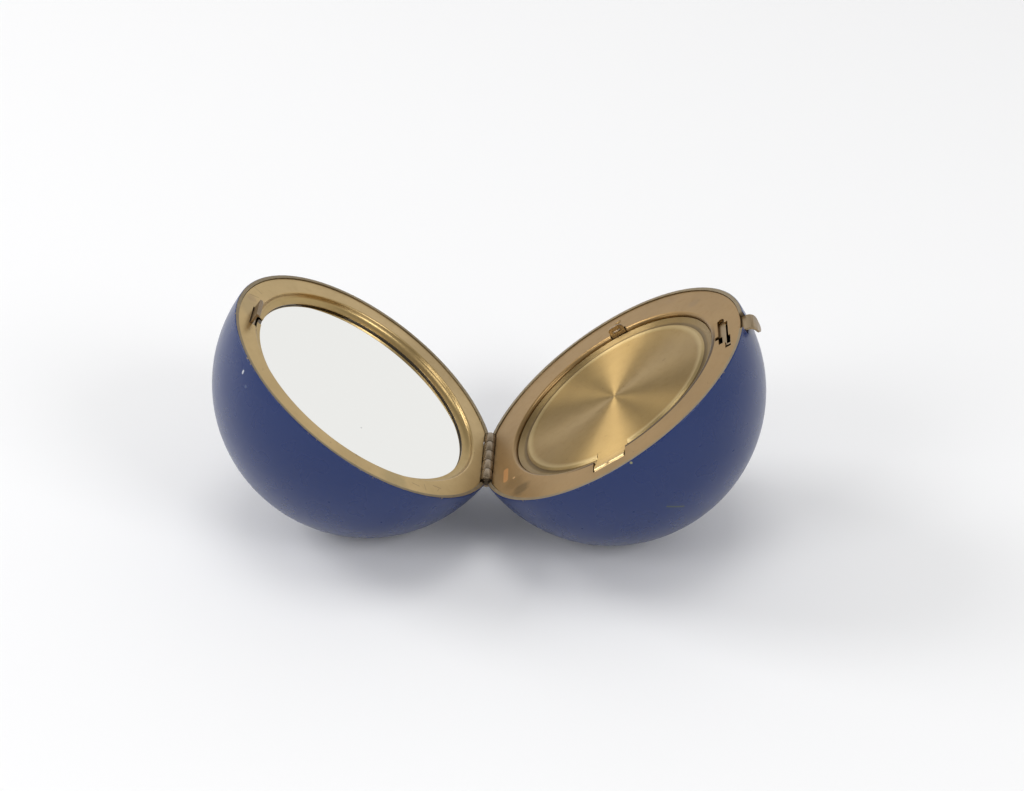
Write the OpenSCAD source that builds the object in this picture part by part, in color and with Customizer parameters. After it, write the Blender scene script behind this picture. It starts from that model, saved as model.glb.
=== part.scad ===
// Ball-shaped powder compact with a mirror, standing open on its two shells.
// Millimetres. The origin is on the floor, straight below the case hinge. +X points from the
// hinge to the powder half, +Y away from the viewer and +Z up. Each half is drawn in its own
// frame, with the centre of the ball at 0, the rim at z = 0, the bowl below it and +X away
// from the hinge, and is then laid over to its side.

/* [Ball] */
// Outer diameter of the closed ball
ball_d = 52; // [48:1:60]
// Wall of each spun brass shell, lacquer included
shell_t = 0.7; // [0.5:0.1:1]
// Gap between the two rims when the ball is shut
rim_gap = 0.2; // [0.1:0.05:0.3]
// Angle between the two rims when the ball is fully open
open_angle = 110; // [100:1:120]

/* [Case hinge] */
// How far the hinge axis lies inside the outline of the ball
hinge_inset = 1.1; // [1:0.1:1.4]
// Outer diameter of the knuckles
knuckle_d = 2; // [1.8:0.1:2.2]
// Length of the whole row of knuckles
hinge_l = 14.6; // [12:0.1:18]
// Number of knuckles, both leaves together
knuckles = 5; // [3:2:7]
// Gap between two knuckles
knuckle_gap = 0.15; // [0.1:0.05:0.25]
// Diameter of the hinge pin
hinge_pin_d = 1; // [0.8:0.1:1.2]
// Radial clearance of a pin that something turns on
pin_clear = 0.05; // [0.02:0.01:0.08]
// Gap left between the shells below the hinge, fully open
stop_gap = 0.3; // [0.2:0.05:0.5]

/* [Inner plates] */
// How far the plate and the bezel lie below the rims
plate_drop = 0.3; // [0.2:0.05:0.5]
// Brass sheet of the plate and the bezel
plate_t = 0.45; // [0.35:0.05:0.55]
// How far their outer skirts reach below the rims
skirt_drop = 2; // [1.8:0.1:2.4]
// Width of the band between the outline of the ball and the opening in the plate
rim_band = 6.5; // [6.4:0.1:8]

/* [Powder well and lid] */
// Depth inside the powder well
well_depth = 7.5; // [5:0.5:9]
// Brass sheet of the well
well_t = 0.35; // [0.3:0.05:0.5]
// Width of the ledge under the edge of the lid
ledge_w = 1.65; // [1.2:0.05:2.5]
// Gap round the lid
lid_gap = 0.2; // [0.15:0.05:0.3]
// Brass sheet of the lid
lid_t = 0.35; // [0.3:0.05:0.4]
// How far the raised rim of the lid lies below the rims of the ball
lid_drop = 0.4; // [0.35:0.05:0.5]
// Height of the lid's raised rim above its disc
lid_step = 0.85; // [0.75:0.05:0.95]
// Width of the lid's raised rim
lid_rim_w = 2.3; // [2:0.1:3]
// Width of the hinge tab of the lid
tab_w = 5.8; // [4:0.1:8]
// Sideways place of the tab
tab_x = -0.3; // [-0.6:0.1:0.6]
// Distance from the opening in the plate to the hinge pin of the lid
lid_pin_out = 2.4; // [2.2:0.1:2.8]
// Outer diameter of the rolled end of the tab
lid_barrel_d = 1.4; // [1.3:0.1:1.4]
// Diameter of the hinge pin of the lid
lid_pin_d = 0.6; // [0.5:0.05:0.6]

/* [Lid catch] */
// Width of the sprung lug that holds the lid
lug_w = 2.8; // [2:0.1:4]
// Height of the lug above the rims
lug_h = 1; // [0.6:0.1:1.1]
// Sideways place of the lug
lug_x = 1.2; // [0:0.1:2]
// Distance from the opening in the plate to the rivet of the lug
lug_rivet_out = 3.9; // [3.4:0.1:4]

/* [Latch] */
// Sideways place of the latch
latch_y = -0.7; // [-1.5:0.1:0.5]
// Width of the thumbpiece
thumb_w = 4.6; // [4:0.1:6]
// How far the thumbpiece stands out from the ball
thumb_reach = 1.35; // [1.35:0.05:2.5]
// Inner radius of the bend of the thumbpiece
thumb_bend = 1.1; // [0.8:0.1:1.1]
// How far the thumbpiece pushes in
latch_travel = 0.8; // [0.6:0.05:0.8]
// Brass strip of the latch slide
slide_t = 0.35; // [0.3:0.05:0.4]
// Width of the striker tongue on the mirror half
striker_w = 5; // [3:0.1:5.5]
// Brass sheet of the striker
striker_t = 0.45; // [0.35:0.05:0.5]
// How far the barb of the striker hooks under the slide
hook = 0.3; // [0.2:0.05:0.35]

/* [Mirror] */
// Width of the band between the outline of the ball and the bare mirror
mirror_band = 5.6; // [5.4:0.1:7]
// Width of the bezel's curved wall
cove_w = 1.4; // [1.1:0.1:1.6]
// How far the face of the mirror lies below the rim
mirror_drop = 1.65; // [1.6:0.05:2]
// Thickness of the glass
glass_t = 1.2; // [1:0.1:1.8]
// How far the glass runs under the edge of the bezel
glass_lap = 0.8; // [0.5:0.1:0.9]
// Thickness of the card behind the glass
card_t = 0.4; // [0.3:0.1:0.8]
// Brass sheet of the pan behind the card
pan_t = 0.35; // [0.3:0.05:0.5]

/* [Hidden] */
$fn = 96;
// steps in the arc of a bend
bend_steps = 6;
// overrun of a cut past the face that it leaves
over = 1;
// seat of a fixed piece in another
fit = 0.05;
// gap beside a piece that slides or tips
slack = 0.1;
// gap round a piece that passes through a hole
pass = 0.2;
// centre-line radius of a bend in brass sheet
bend_r = 0.35;

lacquer = [0.16, 0.22, 0.45];
brass = [0.72, 0.62, 0.42];
bright_brass = [0.85, 0.74, 0.48];
dull_brass = [0.55, 0.47, 0.33];
steel = [0.55, 0.55, 0.56];
silvered = [0.9, 0.92, 0.92];
card_grey = [0.45, 0.43, 0.4];

// the ball and the lay of its halves
tilt = 90 - open_angle / 2;
ball_r = ball_d / 2;
inner_r = ball_r - shell_t;
hinge_r = ball_r - hinge_inset;

// case hinge: the notch is as deep as lets the shells meet below the hinge, fully open
knuckle_r = knuckle_d / 2;
knuckle_l = (hinge_l - (knuckles - 1) * knuckle_gap) / knuckles;
pin_head_t = 0.3;
pin_head_r = knuckle_r - pass;
leaf_clear = 0.3;
leaf_x = knuckle_r + leaf_clear;
leaf_l = 1.1;
web_t = 0.65;
notch_side = 0.25;
notch_w = 2 * max(hinge_l / 2 + pin_head_t, sqrt(ball_r * ball_r - hinge_r * hinge_r)) + 2 * notch_side;
notch_depth = (stop_gap / 2 + hinge_inset * cos(tilt)) / sin(tilt);

// inner plates
plate_under = plate_drop + plate_t;
skirt_r = sqrt(inner_r * inner_r - skirt_drop * skirt_drop) - fit;
skirt_in = skirt_r - plate_t;
opening_r = ball_r - rim_band;

// powder well and lid
lid_r = opening_r - lid_gap;
disc_drop = lid_drop + lid_step;
lid_rest = 0.15;
collar_drop = disc_drop + lid_t + lid_rest;
well_r = opening_r - ledge_w;
well_lap = 0.9;
well_bend = 1.2;
barrel_r = lid_barrel_d / 2;
lid_pin_r = lid_pin_d / 2;
lid_axis_drop = disc_drop + lid_t - barrel_r;
lid_axis_y = -(opening_r + lid_pin_out);
tab_side = 0.25;
ear_w = 1.05;
ear_half = 0.8;
lid_pin_l = tab_w + 2 * (tab_side + ear_w);
bridge_t = 0.3;

// lid catch
catch_t = 0.3;
lug_gap = 0.1;
lug_y = opening_r + lug_gap;
catch_y = opening_r + lug_rivet_out;
catch_drop = collar_drop - slack;
lug_swing = 0.5;
lug_corner = 0.7;
bead_r = 0.2;
rivet_r = 0.45;
rivet_head_r = 0.8;
rivet_head_t = 0.3;
rivet_top_t = 0.15;
rivet_gap = 0.15;

// latch: places along x count inwards from the skirt of the plate
slide_top = plate_under + slack;
slide_under = slide_top + slide_t;
slide_rail = 1.5;
slide_w = striker_w + 2 * pass + 2 * slide_rail;
slide_y0 = latch_y - slide_w / 2;
slide_y1 = latch_y + slide_w / 2;
slide_x1 = sqrt(skirt_in * skirt_in - slide_y0 * slide_y0) - slack;
bridge_w = 0.45;
window_x1 = slide_x1 - bridge_w;
striker_x1 = window_x1 - latch_travel - slack;
striker_x0 = striker_x1 - striker_t;
window_x0 = striker_x0 - slack;
bar_w = 1.35;
corner_w = 0.55;
corner_l = 3.6;
slit_l = 1;
slide_x0 = window_x0 - bar_w;
barb_h = 0.35;
barb_drop = slide_under + slack;
barb_x = window_x0 - hook;
thumb_gap = 0.5;
thumb_over = 0.15;
slot_w = 1.25;
slot_far = 4.3;
slot_near = 3.8;
slot_tail = 5.9;
tail_w = 0.35;
tail_l = 3.7;
side_hole_x = 0.6;
side_hole_y = 1;
guide_w = 0.4;
guide_t = 0.35;
post_w = 0.9;
post_gap = 0.15;
leaf_spring_t = 0.2;
leaf_spring_h = 0.4;
leaf_spring_lap = 0.6;
leaf_spring_x = slide_x0 + corner_w - fit;
guide_x = leaf_spring_x + fit;
anchor_l = 1.6;
anchor_w = 0.9;
anchor_t = 0.7;
anchor_gap = 0.9;
anchor_y = anchor_gap - sqrt(skirt_in * skirt_in - leaf_spring_x * leaf_spring_x);
foot_t = 0.4;

// mirror
lip_r = ball_r - mirror_band;
bezel_bend = 0.25;
glass_seat = 0.05;
glass_r = lip_r + glass_lap;
pan_wall = 0.1;
pan_r = glass_r + pan_wall;
pan_flange_drop = skirt_drop - pan_t;
pan_bend = 0.25;

// Points on an arc about centre c, from angle a0 to a1
function arc(c, r, a0, a1, steps = bend_steps) =
    [for (i = [0 : steps]) c + r * [cos(a0 + (a1 - a0) * i / steps), sin(a0 + (a1 - a0) * i / steps)]];
function along(v) = v / norm(v);
function across(v) = [-v[1], v[0]];
// Sideways step to the edge of a sheet at point i of its centre line, longer at a corner
function mitre(p, i) = let (
    last = len(p) - 1,
    a = across(along(i > 0 ? p[i] - p[i - 1] : p[1] - p[0])),
    b = across(along(i < last ? p[i + 1] - p[i] : p[last] - p[last - 1]))
) (a + b) / (1 + a * b);
// Outline of a sheet of thickness t on both sides of the centre line p
function sheet(p, t) = concat(
    [for (i = [0 : len(p) - 1]) p[i] + mitre(p, i) * t / 2],
    [for (i = [len(p) - 1 : -1 : 0]) p[i] - mitre(p, i) * t / 2]);

// Lays a half over so that it stands on its shell, the powder half to +X
module powder_half()
    translate([hinge_r * cos(tilt), 0, ball_r]) rotate([0, -tilt, 0]) children();

// The mirror half is laid over to -X; a place along y stays where it is
module mirror_half() mirror([1, 0, 0]) powder_half() children();

// A box from its lowest corner to its highest one
module block(low, high) translate(low) cube(high - low);

// Room for the knuckles at the hinge side of a shell, plate or bezel
module hinge_room(depth)
    block([-ball_r - over, -notch_w / 2, -depth], [-hinge_r + leaf_x, notch_w / 2, over]);

// One spun half ball, cut off just below the rim plane
module half_ball() difference() {
    sphere(ball_r);
    sphere(inner_r);
    block([-ball_r - over, -ball_r - over, -rim_gap / 2], [ball_r + over, ball_r + over, ball_r + over]);
    hinge_room(notch_depth);
}

// The way out of the thumbpiece, from the skirt of the plate outwards
module thumb_way(top)
    block([skirt_in - over, latch_y - thumb_w / 2 - pass, -slide_under - thumb_gap],
        [ball_r + over, latch_y + thumb_w / 2 + pass, top]);

// Half of a hinge: a narrow leaf under the sheet, and every second knuckle from the first one on
module hinge_leaf(first) difference() {
    union() {
        intersection() {
            block([-hinge_r + leaf_x - slack, -hinge_l / 2, -plate_under - plate_t],
                [-hinge_r + leaf_x + leaf_l, hinge_l / 2, -plate_under]);
            translate([0, 0, -ball_r]) cylinder(h = ball_r, r = skirt_in - pass);
        }
        for (i = [first : 2 : knuckles - 1])
            translate([-hinge_r, -hinge_l / 2 + i * (knuckle_l + knuckle_gap), 0]) {
                rotate([-90, 0, 0]) cylinder(h = knuckle_l, r = knuckle_r);
                translate([0, 0, -plate_under - plate_t]) cube([leaf_x, knuckle_l, web_t]);
            }
    }
    translate([-hinge_r, -hinge_l / 2 - over, 0]) rotate([-90, 0, 0])
        cylinder(h = hinge_l + 2 * over, r = hinge_pin_d / 2 + pin_clear);
}

module base_shell() color(lacquer) powder_half() difference() {
    half_ball();
    thumb_way(over);
}

// Slots in the plate over the latch: a round-ended one over the bar of the slide, a narrow one
// for the striker that widens at its near end, and a small side hole
module latch_slots() {
    top = -plate_drop + over;
    low = -plate_under - over;
    slot_x0 = window_x0 - slot_w;
    round_y = latch_y + slot_far - slot_w / 2;
    block([slot_x0, latch_y - slot_near, low], [window_x0, round_y, top]);
    translate([window_x0 - slot_w / 2, round_y, low]) cylinder(h = top - low, r = slot_w / 2);
    block([window_x0 - fit, latch_y - slot_tail, low],
        [striker_x1 + slack, latch_y + striker_w / 2 + pass, top]);
    block([window_x0 - fit, latch_y - slot_tail, low],
        [striker_x1 + slack + tail_w, latch_y - slot_tail + tail_l, top]);
    block([slot_x0 - side_hole_x, latch_y - 2 * side_hole_y, low],
        [slot_x0 + fit, latch_y - side_hole_y, top]);
}

module base_plate() color(brass) powder_half() difference() {
    rotate_extrude() polygon(sheet(concat(
        [[skirt_r - plate_t / 2, -skirt_drop]],
        arc([skirt_r - plate_t / 2 - bend_r, -plate_drop - plate_t / 2 - bend_r], bend_r, 0, 90),
        arc([opening_r + plate_t / 2 + bend_r, -plate_drop - plate_t / 2 - bend_r], bend_r, 90, 180),
        [[opening_r + plate_t / 2, -collar_drop]]), plate_t));
    hinge_room(ball_r);
    thumb_way(-slide_top + thumb_over);
    latch_slots();
    // notch for the hinge tab of the lid, and the channel over the ends of its pin
    block([tab_x - tab_w / 2 - tab_side, lid_axis_y - barrel_r - tab_side, -ball_r],
        [tab_x + tab_w / 2 + tab_side, -opening_r + plate_t + over, over]);
    translate([tab_x, lid_axis_y, -lid_axis_drop]) rotate([0, 90, 0])
        cylinder(h = lid_pin_l + 2 * slack, r = lid_pin_r + slack, center = true);
    // slot for the lug of the lid catch, and the hole of its rivet
    block([lug_x - lug_w / 2 - pass, lug_y - lug_swing, -ball_r],
        [lug_x + lug_w / 2 + pass, lug_y + catch_t + lug_swing, over]);
    translate([lug_x, catch_y, -plate_under - over]) cylinder(h = plate_t + 2 * over, r = rivet_r);
}

module powder_well() color(brass) powder_half() rotate_extrude() polygon(sheet(concat(
    [[opening_r + well_lap, -collar_drop - well_t / 2]],
    arc([well_r + well_t / 2 + bend_r, -collar_drop - well_t / 2 - bend_r], bend_r, 90, 180),
    arc([well_r + well_t / 2 - well_bend, -collar_drop - well_depth - well_t / 2 + well_bend],
        well_bend, 0, -90),
    [[0, -collar_drop - well_depth - well_t / 2]]), well_t));

module base_hinge_leaf() color(dull_brass) powder_half() hinge_leaf(0);

// Peened over at both ends
module hinge_pin() color(steel) powder_half() translate([-hinge_r, 0, 0]) rotate([90, 0, 0]) {
    cylinder(h = hinge_l + 2 * pin_head_t, r = hinge_pin_d / 2, center = true);
    for (side = [-1, 1])
        translate([0, 0, side * (hinge_l + pin_head_t) / 2])
            cylinder(h = pin_head_t, r = pin_head_r, center = true);
}

// Two ears and a bridge under the plate, at the sides of the tab's notch. The pin lies in the
// notched ears and the plate holds it down.
module lid_hinge_bracket() color(dull_brass) powder_half() translate([tab_x, 0, 0]) difference() {
    ear_x = tab_w / 2 + tab_side;
    bridge_top = disc_drop + lid_t + slack;
    translate([0, lid_axis_y, 0]) {
        for (side = [-1, 1])
            translate([side * (ear_x + ear_w / 2), 0, -(plate_under + bridge_top) / 2])
                cube([ear_w, 2 * ear_half, bridge_top - plate_under], center = true);
        block([-ear_x - ear_w, -ear_half, -bridge_top - bridge_t], [ear_x + ear_w, ear_half, -bridge_top]);
    }
    translate([0, lid_axis_y, -lid_axis_drop]) rotate([0, 90, 0])
        cylinder(h = lid_pin_l + 2 * over, r = lid_pin_r, center = true);
}

module lid_hinge_pin() color(steel) powder_half()
    translate([tab_x, lid_axis_y, -lid_axis_drop]) rotate([0, 90, 0])
        cylinder(h = lid_pin_l, r = lid_pin_r, center = true);

// A turned disc with a raised rim. The rim stops at the tab, which runs on level with the disc
// and ends in a roll round the pin.
module powder_lid() color(bright_brass) powder_half() difference() {
    riser_r = lid_r - lid_rim_w;
    rim_z = -lid_drop - lid_t / 2;
    disc_z = -disc_drop - lid_t / 2;
    riser_bend = lid_t;
    union() {
        difference() {
            rotate_extrude() polygon(sheet(concat(
                [[lid_r - lid_t / 2, -disc_drop - lid_t]],
                arc([lid_r - lid_t / 2 - bend_r, rim_z - bend_r], bend_r, 0, 90),
                arc([riser_r + riser_bend, rim_z - riser_bend], riser_bend, 90, 180),
                arc([riser_r - riser_bend, disc_z + riser_bend], riser_bend, 0, -90),
                [[0, disc_z]]), lid_t));
            block([tab_x - tab_w / 2, -lid_r - over, -ball_r],
                [tab_x + tab_w / 2, -riser_r + riser_bend + over, over]);
        }
        block([tab_x - tab_w / 2, lid_axis_y, -disc_drop - lid_t],
            [tab_x + tab_w / 2, -riser_r + riser_bend + 2 * over, -disc_drop]);
        translate([tab_x, lid_axis_y, -lid_axis_drop]) rotate([0, 90, 0])
            cylinder(h = tab_w, r = barrel_r, center = true);
    }
    translate([tab_x, lid_axis_y, -lid_axis_drop]) rotate([0, 90, 0])
        cylinder(h = tab_w + 2 * over, r = lid_pin_r + pin_clear, center = true);
}

// A bent spring strip: its foot is riveted under the plate, and its round-cornered lug stands
// up through the plate beside the lid
module lid_catch() color(dull_brass) powder_half() translate([lug_x, 0, 0]) difference() {
    union() {
        block([-lug_w / 2, lug_y, -catch_drop], [lug_w / 2, catch_y + rivet_head_r, -catch_drop + catch_t]);
        translate([0, lug_y + catch_t, 0]) rotate([90, 0, 0]) linear_extrude(height = catch_t) {
            translate([-lug_w / 2, -catch_drop]) square([lug_w, catch_drop + lug_h - lug_corner]);
            translate([-lug_w / 2 + lug_corner, lug_h - 2 * lug_corner])
                square([lug_w - 2 * lug_corner, 2 * lug_corner]);
            for (side = [-1, 1])
                translate([side * (lug_w / 2 - lug_corner), lug_h - lug_corner]) circle(lug_corner);
        }
        // the bead that the rim of the lid snaps past
        translate([0, lug_y, 0]) rotate([0, 90, 0])
            cylinder(h = lug_w - 2 * lug_corner, r = bead_r, center = true);
    }
    translate([0, catch_y, -catch_drop - over]) cylinder(h = catch_t + 2 * over, r = rivet_r + rivet_gap);
}

module lid_catch_rivet() color(brass) powder_half() translate([lug_x, catch_y, 0]) {
    foot_top = catch_drop - catch_t - rivet_gap;
    head_z = -catch_drop - rivet_gap;
    translate([0, 0, head_z]) cylinder(h = -head_z - plate_drop, r = rivet_r);
    translate([0, 0, head_z - rivet_head_t]) cylinder(h = rivet_head_t, r = rivet_head_r);
    translate([0, 0, -foot_top]) cylinder(h = foot_top - plate_under, r = rivet_head_r);
    translate([0, 0, -plate_drop]) cylinder(h = rivet_top_t, r1 = rivet_head_r - pass, r2 = rivet_r);
}

// A flat strip under the plate with a window for the striker, and one corner left out for the
// spring. It runs out through the rim and bends down to a half-round thumbpiece.
module latch_slide() color(bright_brass) powder_half() {
    bend_x = ball_r + thumb_reach - thumb_bend - slide_t;
    difference() {
        block([slide_x0, slide_y0, -slide_under], [slide_x1, slide_y1, -slide_top]);
        block([window_x0, latch_y - striker_w / 2 - pass, -slide_under - over],
            [window_x1, latch_y + striker_w / 2 + pass, -slide_top + over]);
        block([window_x0, latch_y - striker_w / 2 - pass - slit_l, -slide_under - over],
            [striker_x1 + slack, latch_y, -slide_top + over]);
        block([slide_x0 - over, slide_y0 - over, -slide_under - over],
            [slide_x0 + corner_w, slide_y0 + corner_l, -slide_top + over]);
    }
    block([window_x1, latch_y - thumb_w / 2, -slide_under], [bend_x, latch_y + thumb_w / 2, -slide_top]);
    intersection() {
        translate([0, latch_y + thumb_w / 2, 0]) rotate([90, 0, 0]) linear_extrude(height = thumb_w)
            polygon(sheet(concat(
                [[bend_x - fit, -slide_top - slide_t / 2]],
                arc([bend_x, -slide_under - thumb_bend], thumb_bend + slide_t / 2, 90, 0, 2 * bend_steps),
                [[bend_x + thumb_bend + slide_t / 2, -slide_under - thumb_w]]), slide_t));
        union() {
            block([slide_x0, latch_y - thumb_w, -slide_under], [2 * ball_r, latch_y + thumb_w, 0]);
            translate([slide_x0, latch_y, -slide_under]) rotate([0, 90, 0])
                cylinder(h = ball_r, r = thumb_w / 2);
        }
    }
}

// A strap under the slide, with a post at each side
module latch_guide() color(dull_brass) powder_half() {
    y0 = slide_y0 - post_gap;
    y1 = slide_y1 + post_gap;
    strap_top = -slide_under - slack;
    block([guide_x, y0 - post_w, strap_top - guide_t], [guide_x + guide_w, y1 + post_w, strap_top]);
    block([guide_x, y0 - post_w, strap_top - fit], [guide_x + guide_w, y0, -plate_under]);
    block([guide_x, y1, strap_top - fit], [guide_x + guide_w, y1 + post_w, -plate_under]);
}

// A leaf spring on edge. Its tip presses outwards in the open corner of the slide.
module latch_spring() color(steel) powder_half()
    block([leaf_spring_x - leaf_spring_t, anchor_y, -slide_top - leaf_spring_h],
        [leaf_spring_x, slide_y0 + leaf_spring_lap, -slide_top]);

module spring_anchor() color(dull_brass) powder_half()
    block([leaf_spring_x - leaf_spring_t - anchor_w, anchor_y, -plate_under - anchor_t],
        [leaf_spring_x - leaf_spring_t, anchor_y + anchor_l, -plate_under]);

module mirror_shell() color(lacquer) mirror_half() half_ball();

module mirror_bezel() color(brass) mirror_half() difference() {
    wall_r = lip_r + cove_w + plate_t / 2;
    cove_top = -plate_drop - plate_t / 2 - bezel_bend;
    cove_h = mirror_drop - glass_seat - plate_t / 2 + cove_top;
    rotate_extrude() polygon(sheet(concat(
        [[skirt_r - plate_t / 2, -skirt_drop]],
        arc([skirt_r - plate_t / 2 - bend_r, -plate_drop - plate_t / 2 - bend_r], bend_r, 0, 90),
        arc([wall_r + bezel_bend, cove_top], bezel_bend, 90, 180),
        [for (i = [1 : bend_steps]) [lip_r + (wall_r - lip_r) * cos(90 * i / bend_steps),
            cove_top - cove_h * sin(90 * i / bend_steps)]]), plate_t));
    hinge_room(ball_r);
    // the slot of the striker, cut through into the curved wall
    block([lip_r + glass_lap, latch_y - striker_w / 2 - pass, -mirror_drop + glass_seat],
        [striker_x1 + pass, latch_y + striker_w / 2 + pass, over]);
}

module mirror_glass() color(silvered) mirror_half() translate([0, 0, -mirror_drop - glass_t])
    cylinder(h = glass_t, r = glass_r);

module mirror_card() color(card_grey) mirror_half() translate([0, 0, -mirror_drop - glass_t - card_t])
    cylinder(h = card_t, r = glass_r);

// A shallow dish that presses the card and the glass up into the bezel
module mirror_pan() color(dull_brass) mirror_half() rotate_extrude() polygon(sheet(concat(
    [[skirt_in - fit, -pan_flange_drop - pan_t / 2]],
    arc([pan_r + pan_t / 2 + pan_bend, -pan_flange_drop - pan_t / 2 - pan_bend], pan_bend, 90, 180),
    arc([pan_r + pan_t / 2 - pan_bend, -mirror_drop - glass_t - card_t - pan_t / 2 + pan_bend],
        pan_bend, 0, -90),
    [[0, -mirror_drop - glass_t - card_t - pan_t / 2]]), pan_t));

module mirror_hinge_leaf() color(dull_brass) mirror_half() hinge_leaf(1);

// A bent tongue: its foot lies under the bezel, and its barb points at the mirror
module striker() color(brass) mirror_half() translate([0, latch_y + striker_w / 2, 0]) rotate([90, 0, 0])
    linear_extrude(height = striker_w) {
        foot_x1 = sqrt(skirt_in * skirt_in - pow(striker_w / 2 - latch_y, 2)) - pass;
        foot_z = -plate_under - foot_t;
        top = barb_drop + barb_h;
        polygon([[striker_x0, foot_z], [foot_x1, foot_z], [foot_x1, -plate_under], [striker_x1, -plate_under],
            [striker_x1, top], [striker_x0, top], [barb_x, barb_drop], [striker_x0, barb_drop]]);
    }

base_shell();
base_plate();
powder_well();
base_hinge_leaf();
hinge_pin();
lid_hinge_bracket();
lid_hinge_pin();
powder_lid();
lid_catch();
lid_catch_rivet();
latch_slide();
latch_guide();
latch_spring();
spring_anchor();
mirror_shell();
mirror_bezel();
mirror_glass();
mirror_card();
mirror_pan();
mirror_hinge_leaf();
striker();
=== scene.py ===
"""Dresses a ball-shaped powder compact, lying open on its two lacquered shells."""
import math

import bmesh
import bpy
import numpy as np
from mathutils import Matrix, Vector


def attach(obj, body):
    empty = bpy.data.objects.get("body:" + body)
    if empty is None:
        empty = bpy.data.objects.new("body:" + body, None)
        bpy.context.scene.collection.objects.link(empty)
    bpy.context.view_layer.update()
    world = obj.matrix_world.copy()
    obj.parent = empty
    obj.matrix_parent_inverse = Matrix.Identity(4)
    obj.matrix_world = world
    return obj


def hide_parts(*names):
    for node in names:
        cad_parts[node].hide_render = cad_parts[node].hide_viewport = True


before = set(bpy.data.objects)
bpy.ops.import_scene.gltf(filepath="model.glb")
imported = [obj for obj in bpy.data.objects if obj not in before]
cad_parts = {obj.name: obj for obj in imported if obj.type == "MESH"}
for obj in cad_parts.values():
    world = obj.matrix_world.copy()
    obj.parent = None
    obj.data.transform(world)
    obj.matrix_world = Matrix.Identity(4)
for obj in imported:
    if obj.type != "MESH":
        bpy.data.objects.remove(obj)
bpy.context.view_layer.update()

# The camera
# It stands in front of the case and looks down on it by 30 degrees, with the lens and the small
# roll of the picture.
picture_width = 1024
focal_pixels = 2414.6
camera_azimuth = math.radians(2.02)
camera_elevation = math.radians(30.15)
camera_roll = math.radians(0.72)
camera_distance = 0.40612
camera_target = np.array([0.00391, 0, 0.02446])
backwards = np.array([math.sin(camera_azimuth) * math.cos(camera_elevation),
                      -math.cos(camera_azimuth) * math.cos(camera_elevation),
                      math.sin(camera_elevation)])
level_right = np.cross(-backwards, [0, 0, 1])
level_right /= np.linalg.norm(level_right)
level_up = np.cross(level_right, -backwards)
right = math.cos(camera_roll) * level_right + math.sin(camera_roll) * level_up
up = math.cos(camera_roll) * level_up - math.sin(camera_roll) * level_right
camera_data = bpy.data.cameras.new("camera")
camera_data.sensor_width = 36
camera_data.lens = focal_pixels * camera_data.sensor_width / picture_width
camera_data.clip_start = 0.01
camera_data.clip_end = 20
camera = bpy.data.objects.new("camera", camera_data)
camera_axes = np.stack([right, up, backwards], 1)
camera.matrix_world = Matrix.LocRotScale(camera_target + camera_distance * backwards,
                                         Matrix(camera_axes.tolist()), None)
bpy.context.scene.collection.objects.link(camera)
bpy.context.scene.camera = camera
bpy.context.scene.view_settings.view_transform = "Standard"


# The studio
# A white table, a pale sweep behind it that dims overhead and in front, and four soft lamps: one
# above, two in front, and one on the left, which draws the two bright rays across the turned lid.
def new_material(name):
    """An empty material: (the material, its node tree, its principled shader)."""
    made = bpy.data.materials.new(name)
    made.use_nodes = True
    return made, made.node_tree, made.node_tree.nodes["Principled BSDF"]


def node(tree, kind, inputs=None, **settings):
    """Adds a shader node. A value for an input is a number, a colour or another node's output."""
    made = tree.nodes.new("ShaderNode" + kind)
    for key, value in settings.items():
        setattr(made, key, value)
    for key, value in (inputs or {}).items():
        if isinstance(value, bpy.types.NodeSocket):
            tree.links.new(value, made.inputs[key])
        else:
            made.inputs[key].default_value = value
    return made


def ramp(tree, factor, stops):
    """A colour ramp through stops of (place, grey)."""
    made = node(tree, "ValToRGB", {"Fac": factor})
    elements = made.color_ramp.elements
    while len(elements) < len(stops):
        elements.new(0.5)
    for element, (place, value) in zip(elements, stops):
        element.position = place
        element.color = (value, value, value, 1)
    return made.outputs["Color"]


def lamp(name, place, size, radiance):
    """A square lamp of that size in metres, aimed at the case. Its power is radiance x pi x area."""
    data = bpy.data.lights.new(name, "AREA")
    data.shape = "RECTANGLE"
    data.size, data.size_y = size
    data.energy = radiance * math.pi * size[0] * size[1]
    made = bpy.data.objects.new(name, data)
    made.location = place
    made.rotation_mode = "QUATERNION"
    made.rotation_quaternion = made.location.to_track_quat("Z", "Y")
    bpy.context.scene.collection.objects.link(made)


table_mesh = bpy.data.meshes.new("table")
table_half = 3.0
table_white = (0.88, 0.88, 0.885, 1)
table_mesh.from_pydata([(-table_half, -table_half, 0), (table_half, -table_half, 0),
                        (table_half, table_half, 0), (-table_half, table_half, 0)], [], [(0, 1, 2, 3)])
table = bpy.data.objects.new("table", table_mesh)
bpy.context.scene.collection.objects.link(table)
table_paint, tree, shader = new_material("table_paint")
shader.inputs["Base Color"].default_value = table_white
shader.inputs["Roughness"].default_value = 0.6
shader.inputs["Specular IOR Level"].default_value = 0.2
table_mesh.materials.append(table_paint)

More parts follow.
